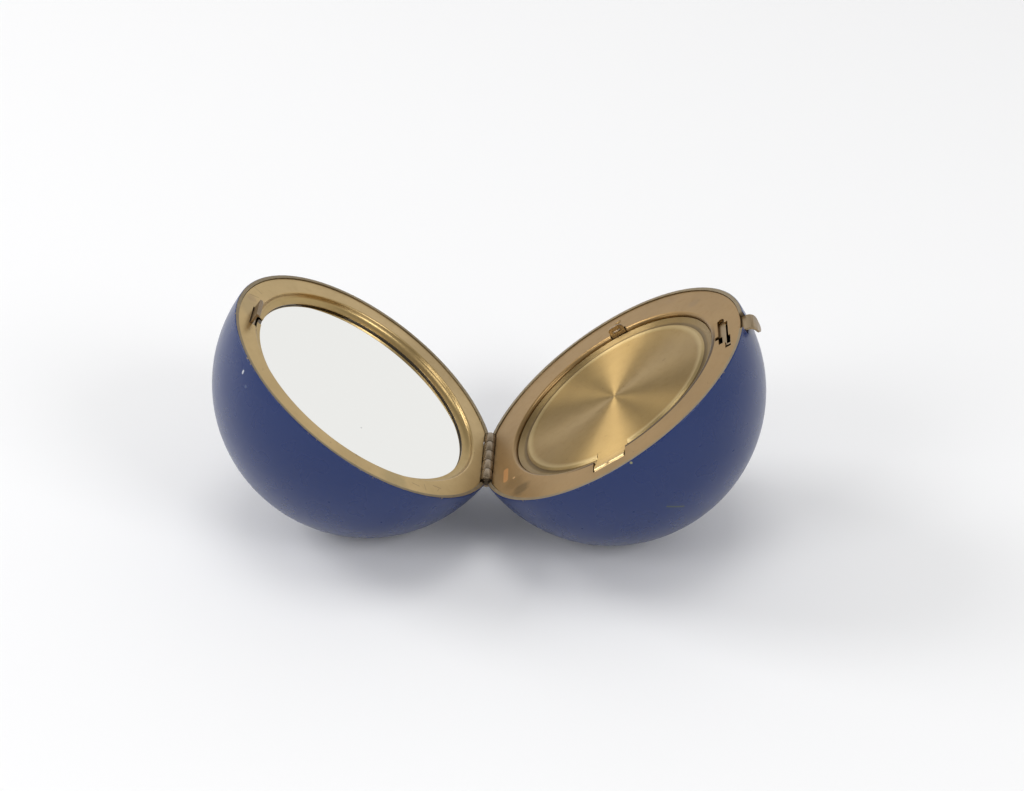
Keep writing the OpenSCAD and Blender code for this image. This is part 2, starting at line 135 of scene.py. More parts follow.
world = bpy.data.worlds.new("room")
bpy.context.scene.world = world
world.use_nodes = True
tree = world.node_tree
up_and_front = (0.0, -0.3, 1.0)
sweep_bright, sweep_dim = 0.93, 0.45
leaning_up = node(tree, "VectorMath", {0: node(tree, "TexCoord").outputs["Generated"], 1: up_and_front},
                  operation="DOT_PRODUCT").outputs["Value"]
room = ramp(tree, leaning_up, [(0.0, sweep_bright), (0.25, sweep_bright),
                               (0.4, sweep_dim), (1.0, sweep_dim)])
tree.links.new(room, tree.nodes["Background"].inputs["Color"])
lamp("lamp_overhead", (0.0, 0.0, 1.3), (0.6, 0.6), 2.6)
lamp("lamp_front_left", (-0.95, -0.85, 0.8), (0.6, 0.6), 4.5)
lamp("lamp_front_right", (0.95, -0.85, 0.8), (0.6, 0.6), 5.5)
lamp("lamp_left", (-0.93, 0.27, 0.71), (0.5, 0.5), 6.0)


# The two shells
# Each is a half ball spun from thin brass and lacquered blue outside. The rim is left bare and
# softly rounded, and is notched for the hinge and, on the powder half, for the thumbpiece.
# Each half is shaped in millimetres on its own axes, with the rim at height 0, the bowl below it
# and +X away from the hinge, and is then laid over on its side as it stands on the table.
MM = 0.001
ball_r = 26.0
hinge_r = 24.9
tilt = math.radians(35)
POWDER, MIRROR = 1, -1
body_of_half = {POWDER: "powder_half", MIRROR: "mirror_half"}
lay_over = Matrix.Translation((hinge_r * math.cos(tilt), 0, ball_r)) @ Matrix.Rotation(-tilt, 4, "Y")
places_of_half = {side: Matrix.Diagonal((side * MM, MM, MM, 1)) @ lay_over for side in (POWDER, MIRROR)}
shell_r_in = 25.3
rim_drop = 0.1
rim_round = 0.16
rim_round_in = 0.06
latch_y = -0.7
hinge_notch = {"middle": 0.0, "half": 7.85, "depth": 1.73, "toward": -1}
thumb_notch = {"middle": latch_y, "half": 2.5, "depth": 1.6, "toward": 1}


def build(name, places, faces):
    """A mesh object of the given places and faces, merged where they meet, with normals outwards."""
    merge_within = 1e-4
    mesh = bpy.data.meshes.new(name)
    corners = faces.tolist() if hasattr(faces, "tolist") else faces
    mesh.from_pydata(np.round(places, 6).tolist(), [], corners)
    work = bmesh.new()
    work.from_mesh(mesh)
    bmesh.ops.remove_doubles(work, verts=work.verts, dist=merge_within)
    bmesh.ops.recalc_face_normals(work, faces=work.faces)
    work.to_mesh(mesh)
    work.free()
    made = bpy.data.objects.new(name, mesh)
    bpy.context.scene.collection.objects.link(made)
    return made


def grid_faces(rows, columns, close_rows, close_columns):
    """Quads of a grid of rows x columns places, closed to a ring along either way if asked."""
    i, j = np.meshgrid(np.arange(rows - (not close_rows)), np.arange(columns - (not close_columns)),
                       indexing="ij")
    down, over = (i + 1) % rows, (j + 1) % columns
    quads = [i * columns + j, i * columns + over, down * columns + over, down * columns + j]
    return np.stack(quads, -1).reshape(-1, 4)


def shell(name, notches):
    """A half ball whose rim height depends on the angle round the axis.

    rim(a) = -rim_drop - depth x step((half - |y(a) - middle|) / softness) for each notch. Every
    column of the grid runs from the bottom up the outside, over the rim and down the inside.
    """
    softness = 0.3
    columns, edge_columns, edge_reach = 320, 25, 0.6
    rows_out, rows_corner, rows_in = 72, 8, 25
    wall_r = (ball_r + shell_r_in) / 2
    angles = [np.linspace(0, 2 * np.pi, columns + 1)[:-1]]
    for notch in notches:
        for edge in (-1, 1):
            at = math.asin((notch["middle"] + edge * notch["half"]) / wall_r)
            at = at if notch["toward"] > 0 else math.pi - at
            beside = at + np.linspace(-edge_reach, edge_reach, edge_columns) / wall_r
            angles.append(beside % (2 * np.pi))
    a = np.unique(np.round(np.concatenate(angles), 6))
    rim = np.full(len(a), -rim_drop)
    for notch in notches:
        inside_edge = notch["half"] - np.abs(wall_r * np.sin(a) - notch["middle"])
        depth = np.clip(inside_edge / softness + 0.5, 0, 1)
        depth = depth * depth * (3 - 2 * depth) * (np.cos(a) * notch["toward"] > 0)
        rim -= notch["depth"] * depth
    turn_z = rim - rim_round
    outer_r, inner_r = np.sqrt(ball_r ** 2 - turn_z ** 2), np.sqrt(shell_r_in ** 2 - turn_z ** 2)
    share = np.linspace(0, 1, rows_out + 1)[:-1, None]
    up_angle = share * (np.arcsin(turn_z / ball_r) + np.pi / 2) - np.pi / 2
    outside = np.stack([ball_r * np.cos(up_angle), ball_r * np.sin(up_angle)], -1)
    corner = np.radians(np.linspace(0, 90, rows_corner))[:, None]
    outer_edge = np.stack([outer_r - rim_round + rim_round * np.cos(corner),
                           turn_z + rim_round * np.sin(corner)], -1)
    inner_edge = np.stack([inner_r + rim_round_in - rim_round_in * np.cos(corner),
                           rim - rim_round_in + rim_round_in * np.sin(corner)], -1)[::-1]
    share_in = np.linspace(1, 0, rows_in)[1:, None]
    down_angle = share_in * (np.arcsin(turn_z / shell_r_in) + np.pi / 2) - np.pi / 2
    inside = np.stack([shell_r_in * np.cos(down_angle), shell_r_in * np.sin(down_angle)], -1)
    profile = np.concatenate([outside, outer_edge, inner_edge, inside])
    r, h = profile[..., 0], profile[..., 1]
    places = np.stack([r * np.cos(a), r * np.sin(a), h], -1)
    return build(name, places.reshape(-1, 3), grid_faces(len(profile), len(a), False, True))


def on_half(tree, side):
    """Places in millimetres on the half's own axes, from the object's coordinates."""
    shift = Matrix.Rotation(tilt, 3, "Y") @ Vector((hinge_r * math.cos(tilt), 0, ball_r))
    return node(tree, "Mapping", {"Vector": node(tree, "TexCoord").outputs["Object"],
                                  "Location": (-shift[0], -shift[1], -shift[2]), "Rotation": (0, tilt, 0),
                                  "Scale": (side / MM, 1 / MM, 1 / MM)}).outputs["Vector"]


def noise(tree, vector, scale, detail=4.0, roughness=0.55, offset=0.0):
    """Cloudy noise, scale to the millimetre, moved aside by offset."""
    moved = node(tree, "VectorMath", {0: vector, 1: (offset, offset, offset)}, operation="ADD").outputs[0]
    return node(tree, "TexNoise", {"Vector": moved, "Scale": scale, "Detail": detail,
                                   "Roughness": roughness}).outputs["Fac"]


def calc(tree, operation, *values):
    """A math node."""
    return node(tree, "Math", dict(enumerate(values)), operation=operation).outputs[0]


def between(tree, value, low, high):
    """0 below low, 1 above high and smooth in between. high may lie below low."""
    if high < low:
        return calc(tree, "SUBTRACT", 1.0, between(tree, value, high, low))
    return node(tree, "MapRange", {"Value": value, "From Min": low, "From Max": high},
                interpolation_type="SMOOTHSTEP", clamp=True).outputs["Result"]


def mix(tree, factor, first, second):
    """A mix of two colours."""
    made = node(tree, "Mix", {"Factor": factor}, data_type="RGBA")
    for socket, value in ((made.inputs[6], first), (made.inputs[7], second)):
        if isinstance(value, bpy.types.NodeSocket):
            tree.links.new(value, socket)
        else:
            socket.default_value = (*value, 1)
    return made.outputs[2]


def smudge(middle, radius, ragged=0.8):
    """A mark round a place on the half: 1 at the middle, 0 past the radius, ragged by noise."""
    def mask(tree, place):
        away = node(tree, "VectorMath", {0: place, 1: middle}, operation="DISTANCE").outputs["Value"]
        wobble = calc(tree, "MULTIPLY", noise(tree, place, 1.6 / radius, 4.0), ragged * radius)
        reach = calc(tree, "ADD", away, wobble)
        return between(tree, reach, (1 + ragged / 2) * radius, (0.4 + ragged / 2) * radius)
    return mask


def scratch(start, end, width):
    """A straight scratch: 1 within half its width of the line from start to end."""
    way = np.subtract(end, start)
    length = float(np.linalg.norm(way))
    way = way / length

    def mask(tree, place):
        from_start = node(tree, "VectorMath", {0: place, 1: start}, operation="SUBTRACT").outputs[0]
        along = node(tree, "VectorMath", {0: from_start, 1: tuple(way)},
                     operation="DOT_PRODUCT").outputs["Value"]
        held = calc(tree, "MINIMUM", calc(tree, "MAXIMUM", along, 0.0), length)
        foot = node(tree, "VectorMath", {0: tuple(way), "Scale": held}, operation="SCALE").outputs[0]
        away = node(tree, "VectorMath", {0: from_start, 1: foot}, operation="DISTANCE").outputs["Value"]
        return between(tree, away, width * 0.6, width * 0.35)
    return mask


def ring(start, end, soft_in, soft_out):
    """A ring round the axis: 1 between the radii start and end, fading beyond them on both sides."""
    def mask(tree, place):
        level = node(tree, "VectorMath", {0: place, 1: (1, 1, 0)}, operation="MULTIPLY").outputs[0]
        radius = node(tree, "VectorMath", {0: level}, operation="LENGTH").outputs["Value"]
        return calc(tree, "MULTIPLY", between(tree, radius, start - soft_in, start),
                    between(tree, radius, end + soft_out, end))
    return mask


def toward(mask, way, start, full):
    """The part of a mask that lies out along a level way: none before start, all of it past full."""
    def part(tree, place):
        out = node(tree, "VectorMath", {0: place, 1: (*way, 0)}, operation="DOT_PRODUCT").outputs["Value"]
        return calc(tree, "MULTIPLY", mask(tree, place), between(tree, out, start, full))
    return part


def marked(tree, place, colour, marks):
    """The colour with marks laid over it, each a (mask, colour, strength)."""
    for mask, stain, strength in marks:
        colour = mix(tree, calc(tree, "MULTIPLY", mask(tree, place), strength), colour, stain)
    return colour


def lacquered(name, side, chips, marks):
    """Deep blue lacquer over brass: gloss outside, a ragged edge along the rim, brass inside.

    Lacquer covers what lies further than lacquer_r from the middle of the ball. chips says how
    ragged and chipped its edge is, within chips_reach of the rim, and marks are laid over its blue.
    """
    lacquer_r = (25.87, 25.9)
    chips_reach = (0.5, 0.25)
    gloss = (0.24, 0.32)
    ripple = 0.02 * MM
    made, tree, shader = new_material(name)
    place = on_half(tree, side)
    from_centre = node(tree, "VectorMath", {0: place}, operation="LENGTH").outputs["Value"]
    depth = calc(tree, "MULTIPLY", node(tree, "SeparateXYZ", {"Vector": place}).outputs["Z"], -1.0)
    centred = calc(tree, "SUBTRACT", noise(tree, place, 1.3, 3.0), 0.5)
    ragged = calc(tree, "MULTIPLY", centred, 0.16 * chips)
    outside = between(tree, calc(tree, "ADD", from_centre, ragged), *lacquer_r)
    patches = between(tree, noise(tree, place, 0.16, 2.0, offset=7.0), 0.5, 0.62)
    flaws = calc(tree, "MULTIPLY", between(tree, noise(tree, place, 2.4, 3.0, 0.6), 0.58, 0.62), patches)
    near_rim = between(tree, depth, *chips_reach)
    chipped = calc(tree, "MULTIPLY", calc(tree, "MULTIPLY", flaws, near_rim), chips)
    lacquer = calc(tree, "MULTIPLY", outside, calc(tree, "SUBTRACT", 1.0, chipped))
    cloud = noise(tree, place, 0.05, 3.0)
    blue = mix(tree, cloud, (0.0035, 0.018, 0.096), (0.005, 0.022, 0.11))
    blue = marked(tree, place, blue, marks)
    bare = mix(tree, noise(tree, place, 0.8, 4.0), (0.2, 0.16, 0.1), (0.34, 0.27, 0.17))
    tree.links.new(mix(tree, lacquer, bare, blue), shader.inputs["Base Color"])
    tree.links.new(calc(tree, "SUBTRACT", 1.0, lacquer), shader.inputs["Metallic"])
    rough = node(tree, "MapRange", {"Value": noise(tree, place, 0.3, 1.0),
                                    "To Min": gloss[0], "To Max": gloss[1]}).outputs["Result"]
    tree.links.new(mix(tree, lacquer, (0.45, 0.45, 0.45), rough), shader.inputs["Roughness"])
    shader.inputs["Specular IOR Level"].default_value = 0.42
    waves = calc(tree, "ADD", noise(tree, place, 0.35, 2.0), calc(tree, "MULTIPLY", lacquer, 2.5))
    bump = node(tree, "Bump", {"Height": waves, "Strength": 0.6, "Distance": ripple})
    tree.links.new(bump.outputs["Normal"], shader.inputs["Normal"])
    return made


def laid_over(piece, side):
    """Turns a piece from its half's own axes to where the half stands."""
    piece.data.transform(places_of_half[side])
    if side == MIRROR:
        piece.data.flip_normals()
    return piece


def baked(piece):
    """Turns the piece's modifiers into plain geometry."""
    bpy.context.view_layer.update()
    seen = bpy.context.evaluated_depsgraph_get()
    mesh = bpy.data.meshes.new_from_object(piece.evaluated_get(seen))
    piece.modifiers.clear()
    piece.data = mesh


def finished(piece, name, body, finish, replaced, edge=0.05, sharp=40):
    """Breaks the sharp edges of a piece, shades it, gives it its finish and fixes it to a body.

    edge is the width of the broken edge in millimetres, and an edge is sharp past an angle of sharp
    degrees. replaced names the plain solid that the piece stands for.
    """
    if edge:
        bevel = piece.modifiers.new("edges", "BEVEL")
        bevel.width = edge * MM
        bevel.segments = 2
        bevel.limit_method = "ANGLE"
        bevel.angle_limit = math.radians(sharp)
        baked(piece)
    piece.data.shade_smooth()
    piece.data.set_sharp_from_angle(angle=math.radians(sharp))
    weighted = piece.modifiers.new("flats", "WEIGHTED_NORMAL")
    weighted.keep_sharp = True
    weighted.weight = 80
    baked(piece)
    piece.name = name
    piece.data.name = name
    piece.data.materials.clear()
    piece.data.materials.append(finish)
    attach(piece, body)
    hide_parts(replaced)


powder_lacquer = lacquered("lacquer_powder", POWDER, 0.6, [
    (scratch((3.2, -22.8, -12.1), (4.9, -21.0, -14.5), 0.35), (0.06, 0.075, 0.03), 0.8),
    (smudge((3.8, -25.7, -0.5), 0.3), (0.25, 0.24, 0.12), 0.9)])
mirror_lacquer = lacquered("lacquer_mirror", MIRROR, 1.0, [
    (scratch((20.95, -15.1, -2.1), (21.0, -15.25, -2.5), 0.4), (0.5, 0.52, 0.55), 0.9),
    (smudge((19.5, -16.8, -3.4), 0.35), (0.09, 0.12, 0.2), 0.6)])
finished(laid_over(shell("powder_shell", [hinge_notch, thumb_notch]), POWDER), "powder_shell",
         "powder_half", powder_lacquer, "base_shell", edge=0)
finished(laid_over(shell("mirror_shell", [hinge_notch]), MIRROR), "mirror_shell_ball",
         "mirror_half", mirror_lacquer, "mirror_shell", edge=0)


# The powder plate
# A flat ring pressed from brass sheet. Its skirt is a press fit in the shell and its collar holds
# the powder well. It is slotted for the latch, the lug of the lid and the lid's hinge tab, and cut
# away for the case hinge.
rust = (0.16, 0.1, 0.045)
# A cut starts past the ball or at slot_deep, ends over the rim and laps the cut beside it.
past, over, slot_deep, lap = 27, 1, -1.5, 0.05
plate_t = 0.45
plate_top = -0.3
plate_under = plate_top - plate_t
skirt_drop = 2.0
press_gap = 0.05
skirt_r = math.sqrt(shell_r_in ** 2 - skirt_drop ** 2) - press_gap
opening_r = 19.5
collar_drop = 1.75
seam = 0.04
hinge_room_x = -23.84
hinge_room = ((-past, -hinge_notch["half"], -past), (hinge_room_x, hinge_notch["half"], over))
slide_under = 1.2
window_x0 = 22.231
window_y0 = latch_y - 3.8
slot_x0 = window_x0 - 1.25
slot_round_r = (window_x0 - slot_x0) / 2
slot_round_y = latch_y + 4.3 - slot_round_r
slot_x1 = 22.881
slot_y1 = latch_y + 2.7
tail_x1 = slot_x1 + 0.35
tail_y0 = latch_y - 5.9
tail_y1 = tail_y0 + 3.7
nick_x0 = slot_x0 - 0.6
nick_y0, nick_y1 = latch_y - 2, latch_y - 1
thumb_way = ((23.7, latch_y - thumb_notch["half"], -slide_under - 0.5),
             (past, latch_y + thumb_notch["half"], -0.7))
tab_x = -0.3
tab_half = 2.9
tab_gap = 0.14
lid_axis_y, lid_axis_z = -21.9, -0.9
roll_r = 0.7
pin_hole_r, pin_hole_half = 0.4, 4.3
lug_x, lug_half, lug_y, lug_t = 1.2, 1.4, 19.6, 0.3
lug_side, lug_gap = 0.2, 0.5


def arc(centre, radius, start, end, steps=16):
    """Points at equal angles on an arc about centre, from start to end in degrees."""
    a = np.radians(np.linspace(start, end, steps + 1))
    return np.array(centre) + radius * np.stack([np.cos(a), np.sin(a)], 1)


def rounded(corners, steps=6):
    """A closed outline through corners of (radius, height, rounding).

    With u and v the ways from a corner to its neighbours and 2t the angle between them, the
    rounding's centre lies at corner + (u + v) / |u + v| x rounding / sin t, and its arc runs
    between the two feet of that centre, at corner + u or v x rounding / tan t.
    """
    table = np.array(corners, float)
    at, rounding = table[:, :2], table[:, 2:]
    to_last, to_next = np.roll(at, 1, 0) - at, np.roll(at, -1, 0) - at
    u = to_last / np.linalg.norm(to_last, axis=1, keepdims=True)
    v = to_next / np.linalg.norm(to_next, axis=1, keepdims=True)
    half = np.arccos(np.clip((u * v).sum(1, keepdims=True), -1, 1)) / 2
    centre = at + (u + v) / np.linalg.norm(u + v, axis=1, keepdims=True) * rounding / np.sin(half)
    first, last = at + u * rounding / np.tan(half) - centre, at + v * rounding / np.tan(half) - centre
    share = np.linspace(0, 1, steps + 1)[:, None, None]
    spread = np.pi - 2 * half
    swept = (first * np.sin((1 - share) * spread) + last * np.sin(share * spread)) / np.sin(spread)
    return (centre + swept).transpose(1, 0, 2).reshape(-1, 2)


def spun(name, outline, turns=288):
    """A closed outline of (radius, height) spun round the axis: (r cos a, r sin a, h)."""
    a = np.arange(turns) * 2 * np.pi / turns
    r, h = np.array(outline).T
    places = np.stack([np.outer(np.cos(a), r), np.outer(np.sin(a), r),
                       np.broadcast_to(h, (turns, len(h)))], -1)
    return build(name, places.reshape(-1, 3), grid_faces(turns, len(h), True, True))


def pulled(name, outline, low, high, axis="Y"):
    """A closed outline pulled straight along an axis, from low to high, with flat ends."""
    a, b = np.array(outline).T
    count = len(a)
    ends = []
    for end in (low, high):
        along = np.full(count, end)
        ends.append(np.stack({"X": (along, a, b), "Y": (a, along, b), "Z": (a, b, along)}[axis], 1))
    caps = [list(range(count)), list(range(2 * count - 1, count - 1, -1))]
    return build(name, np.vstack(ends), grid_faces(2, count, False, True).tolist() + caps)


def block(low, high):
    """A plain block, used for cutting, from its lowest corner to its highest one."""
    outline = [(low[0], low[1]), (high[0], low[1]), (high[0], high[1]), (low[0], high[1])]
    return pulled("cutter", outline, low[2], high[2], "Z")


def rod(centre, radius, low, high, axis="Z"):
    """A round rod along an axis. centre gives its place in the plane across that axis."""
    return pulled("cutter", arc(centre, radius, 0, 360, 48)[:-1], low, high, axis)


def shaped(piece, operation, others):
    """Adds other solids to a piece or cuts them out of it, one after another."""
    for other in others:
        change = piece.modifiers.new("shape", "BOOLEAN")
        change.operation = operation
        change.solver = "EXACT"
        change.object = other
    baked(piece)
    for other in others:
        bpy.data.objects.remove(other)
    return piece


def brass(name, side, clean, tarnished, rough, marks=(), mottled=0.2, grooves=0.0, spread=0.0):
    """Bare brass with cloudy tarnish, a few brown spots and fine scratches.

    clean and tarnished are its two colours, rough the two ends of its roughness, mottled the
    strength of the fine tarnish and grooves the depth of the turning marks. spread stretches the
    highlights across those marks.
    """
    scratch_deep = 0.01 * MM
    made, tree, shader = new_material(name)
    place = on_half(tree, side)
    cloud = between(tree, noise(tree, place, 0.09, 4.0, 0.5, 2.0), 0.32, 0.7)
    colour = mix(tree, cloud, clean, tarnished)
    mottle = between(tree, noise(tree, place, 0.9, 6.0, 0.65, 5.0), 0.45, 0.75)
    colour = mix(tree, calc(tree, "MULTIPLY", mottle, mottled), colour, tarnished)
    spots = between(tree, noise(tree, place, 0.6, 3.0, 0.6, 11.0), 0.7, 0.74)
    colour = mix(tree, calc(tree, "MULTIPLY", spots, mottled * 2), colour, rust)
    tree.links.new(marked(tree, place, colour, marks), shader.inputs["Base Color"])
    shader.inputs["Metallic"].default_value = 1.0
    worn = calc(tree, "MAXIMUM", mottle, spots)
    roughness = node(tree, "MapRange", {"Value": worn, "To Min": rough[0],
                                        "To Max": rough[1]}).outputs["Result"]
    tree.links.new(roughness, shader.inputs["Roughness"])
    long_way = node(tree, "Mapping", {"Vector": place, "Rotation": (0.0, 0.0, 0.6),
                                      "Scale": (0.25, 7.0, 1.0)}).outputs["Vector"]
    scratches = between(tree, noise(tree, long_way, 1.0, 3.0, 0.7), 0.62, 0.68)
    relief = calc(tree, "MULTIPLY", scratches, -0.6)
    if grooves:
        level = node(tree, "VectorMath", {0: place, 1: (1, 1, 0)}, operation="MULTIPLY").outputs[0]
        radius = node(tree, "VectorMath", {0: level}, operation="LENGTH").outputs["Value"]
        rings = node(tree, "TexNoise", {"W": radius, "Scale": 9.0, "Detail": 3.0},
                     noise_dimensions="1D").outputs["Fac"]
        relief = calc(tree, "ADD", relief, calc(tree, "MULTIPLY", rings, grooves))
        middle = (side * hinge_r * math.cos(tilt) * MM, 0.0, ball_r * MM)
        axis = (-side * math.sin(tilt), 0.0, math.cos(tilt))
        outwards = node(tree, "VectorMath", {0: node(tree, "TexCoord").outputs["Object"], 1: middle},
                        operation="SUBTRACT").outputs[0]
        round_way = node(tree, "VectorMath", {0: axis, 1: outwards}, operation="CROSS_PRODUCT").outputs[0]
        grain = node(tree, "VectorTransform", {"Vector": round_way}, vector_type="VECTOR",
                     convert_from="OBJECT", convert_to="WORLD").outputs["Vector"]
        tree.links.new(grain, shader.inputs["Tangent"])
        shader.inputs["Anisotropic"].default_value = spread
        shader.inputs["Anisotropic Rotation"].default_value = 0.25
    bump = node(tree, "Bump", {"Height": relief, "Strength": 0.3, "Distance": scratch_deep})
    tree.links.new(bump.outputs["Normal"], shader.inputs["Normal"])
    return made


plate = spun("plate", rounded([
    (skirt_r, -skirt_drop, 0.05), (shell_r_in - seam, plate_top, 0.07), (opening_r, plate_top, 0.6),
    (opening_r, -collar_drop, 0.05), (opening_r + plate_t, -collar_drop, 0.05),
    (opening_r + plate_t, plate_under, 0.2), (skirt_r - plate_t, plate_under, 0.1),
    (skirt_r - plate_t, -skirt_drop, 0.05)]))
shaped(plate, "DIFFERENCE", [
    block(*hinge_room),
    block(*thumb_way),
    block((slot_x0, window_y0, slot_deep), (window_x0, slot_round_y, over)),
    rod((slot_x0 + slot_round_r, slot_round_y), slot_round_r, slot_deep, over),
    block((window_x0 - lap, tail_y0, slot_deep), (slot_x1, slot_y1, over)),
    block((window_x0 - lap, tail_y0, slot_deep), (tail_x1, tail_y1, over)),
    block((nick_x0, nick_y0, slot_deep), (slot_x0 + lap, nick_y1, over)),
    block((tab_x - tab_half - tab_gap, lid_axis_y - roll_r - tab_gap, -past),
          (tab_x + tab_half + tab_gap, -opening_r + plate_t + over, over)),
    rod((lid_axis_y, lid_axis_z), pin_hole_r, tab_x - pin_hole_half, tab_x + pin_hole_half, "X"),
    block((lug_x - lug_half - lug_side, lug_y - lug_gap, -past),
          (lug_x + lug_half + lug_side, lug_y + lug_t + lug_gap, over)),
])
# Painted shade: the rounded edge of the opening is coloured darker all round, where it falls away into
# the gap round the lid.
opening_edge_shade = ring(opening_r - 0.5, opening_r + 0.1, 0.1, 0.5)
opening_edge_shade_wide = ring(opening_r - 0.5, opening_r + 0.85, 0.1, 0.12)
plate_brass = brass("plate_brass", POWDER, (0.36, 0.228, 0.094), (0.31, 0.195, 0.079), (0.3, 0.4), [
    (opening_edge_shade, (0.2, 0.13, 0.06), 0.5),
    # Painted shadow: a nearly black band along the near side of the opening's edge, where the plate's
    # edge shades the lid.
    (toward(opening_edge_shade_wide, (0.6, -0.8), 8, 15), (0.06, 0.035, 0.014), 0.92),
    (smudge((-17.7, -15.2, plate_top), 2.2), (0.12, 0.08, 0.03), 0.6),
    (smudge((16.8, 14.5, plate_top), 1.5), (0.27, 0.18, 0.09), 0.5),
    (smudge((12.5, 20.5, plate_top), 1.7), (0.3, 0.19, 0.09), 0.35),
    (smudge((-19.2, -12.2, plate_top), 2.6, 0.5), (0.2, 0.125, 0.045), 0.4),
    (scratch((-21.1, -6.5, plate_top), (-21.0, -9.8, plate_top), 1.0), (0.75, 0.38, 0.14), 0.7),
    (smudge((-19.3, -10.4, plate_top), 0.35), (0.9, 0.6, 0.3), 0.8)])
finished(laid_over(plate, POWDER), "powder_plate", "powder_half", plate_brass, "base_plate")

# The powder lid
# A turned brass disc. A bead runs round it, with a turned hollow outside the bead. The bead is
# painted lighter, as a painted highlight, and the hollow darker, as painted shade. Both stop at the
# hinge tab, which runs on level with the disc and is rolled round its pin.
lid_t = 0.35
lid_r = 19.44
lid_top = -0.95
disc_top = -1.25
disc_under = disc_top - lid_t
bead_in, bead_crest, bead_out = 16.2, 17.3, 17.7
hollow_r = 18.5
hollow_deep, bead_rise, bead_foot = 0.17, 0.16, 0.1
lid_pin_r, roll_gap = 0.3, 0.06
tab_start = -15.65
tab_end_drop = 0.08
tab_bend_y = -17.6
tab_gap_in = 0.02
lid = spun("lid", rounded([
    (lid_r, disc_under, 0.05), (lid_r, lid_top, 0.1), (hollow_r, disc_top - hollow_deep, 0.5),
    (bead_out, disc_top - bead_foot, 0.15), (bead_crest, disc_top + bead_rise, 0.4),
    (bead_in, disc_top, 1.5), (0, disc_top, 0), (0, disc_under, 0)]))
shaped(lid, "DIFFERENCE", [block((tab_x - tab_half, -past, -past), (tab_x + tab_half, tab_start, over))])
turned = {"clean": (0.42, 0.286, 0.114), "tarnished": (0.37, 0.25, 0.1), "rough": (0.42, 0.48),
          "mottled": 0.1, "grooves": 0.5, "spread": 0.97}
lid_brass = brass("turned_brass", POWDER, marks=[
    # Painted highlight: the bead is coloured lighter. Painted shade: the hollow outside it is coloured
    # darker, most of all next to the bead.
    (ring(bead_in + 0.9, bead_out - 0.05, 0.9, 0.08), (0.68, 0.54, 0.28), 0.5),
    (ring(bead_out + 0.05, bead_out + 0.4, 0.08, 0.4), (0.12, 0.08, 0.035), 0.75),
    (ring(bead_out + 0.4, lid_r, 0.3, 0.1), (0.26, 0.19, 0.095), 0.5)], **turned)
finished(laid_over(lid, POWDER), "lid_disc", "powder_lid", lid_brass, "powder_lid")
share = np.linspace(0, 1, 17)
tab_climb = lid_axis_z + roll_r - tab_end_drop - disc_top
tab_rise = np.stack([tab_bend_y + share * (lid_axis_y - tab_bend_y),
                     disc_top + tab_climb * (1 - np.cos(np.pi * share)) / 2], 1)
tab_underside = [(lid_axis_y, disc_under), (tab_start, disc_under), (tab_start, disc_top)]
tab = pulled("tab", np.vstack([tab_underside, tab_rise]), tab_x - tab_half + tab_gap_in,
             tab_x + tab_half - tab_gap_in, "X")
tab_brass = brass("tab_brass", POWDER, **turned)
finished(laid_over(tab, POWDER), "lid_tab", "powder_lid", tab_brass, "powder_lid", edge=0.02)
roll = rod((lid_axis_y, lid_axis_z), roll_r, tab_x - tab_half, tab_x + tab_half, "X")
shaped(roll, "DIFFERENCE", [rod((lid_axis_y, lid_axis_z), lid_pin_r + roll_gap,
                                tab_x - tab_half - over, tab_x + tab_half + over, "X")])
roll_brass = brass("roll_brass", POWDER, (0.6, 0.45, 0.24), (0.46, 0.33, 0.16), (0.28, 0.4), mottled=0.5)
finished(laid_over(roll, POWDER), "lid_roll", "powder_lid", roll_brass, "powder_lid",
         edge=0.22)


# The small parts of the powder half
# The sprung lug that holds the lid, its rivet, and the push latch are bent from brass strip. Their
# plain solids are right in shape, so each gets a copy with its edges broken and a worn finish.
def softened(solid, name, body, finish, edge=0.07, sharp=30):
    """A copy of a plain solid: its triangles are joined to flat faces and its edges are broken."""
    merge_within = 0.001 * MM
    flat_within = math.radians(0.5)
    work = bmesh.new()
    work.from_mesh(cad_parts[solid].data)
    bmesh.ops.remove_doubles(work, verts=work.verts, dist=merge_within)
    bmesh.ops.dissolve_limit(work, angle_limit=flat_within, verts=work.verts, edges=work.edges)
    mesh = bpy.data.meshes.new(name)
    work.to_mesh(mesh)
    work.free()
    made = bpy.data.objects.new(name, mesh)
    bpy.context.scene.collection.objects.link(made)
    finished(made, name, body, finish, solid, edge, sharp)


dull = {side: brass(f"dull_brass_{body_of_half[side]}", side, (0.37, 0.285, 0.195), (0.2, 0.15, 0.095),
                    (0.25, 0.45), mottled=0.7) for side in (POWDER, MIRROR)}
latch_brass = brass("latch_brass", POWDER, (0.33, 0.24, 0.135), (0.24, 0.175, 0.095), (0.3, 0.42),
                    mottled=0.4)
softened("latch_slide", "latch_thumbpiece", "latch", latch_brass, edge=0.1)
softened("lid_catch", "lid_lug", "lid_catch", dull[POWDER], edge=0.06)
softened("lid_catch_rivet", "lug_rivet", "powder_half", plate_brass, edge=0.08)
softened("lid_hinge_bracket", "lid_bracket", "powder_half", dull[POWDER])
softened("latch_guide", "latch_strap", "powder_half", dull[POWDER])
softened("spring_anchor", "spring_block", "powder_half", dull[POWDER])

# The case hinge
# Two narrow leaves are soldered under the plate and the bezel. Their knuckles are rolled from the
# same strip and turn on one pin, which is peened over at both ends.
for side, solid in ((POWDER, "base_hinge_leaf"), (MIRROR, "mirror_hinge_leaf")):
    softened(solid, f"{body_of_half[side]}_knuckles", body_of_half[side], dull[side],
             edge=0.12)
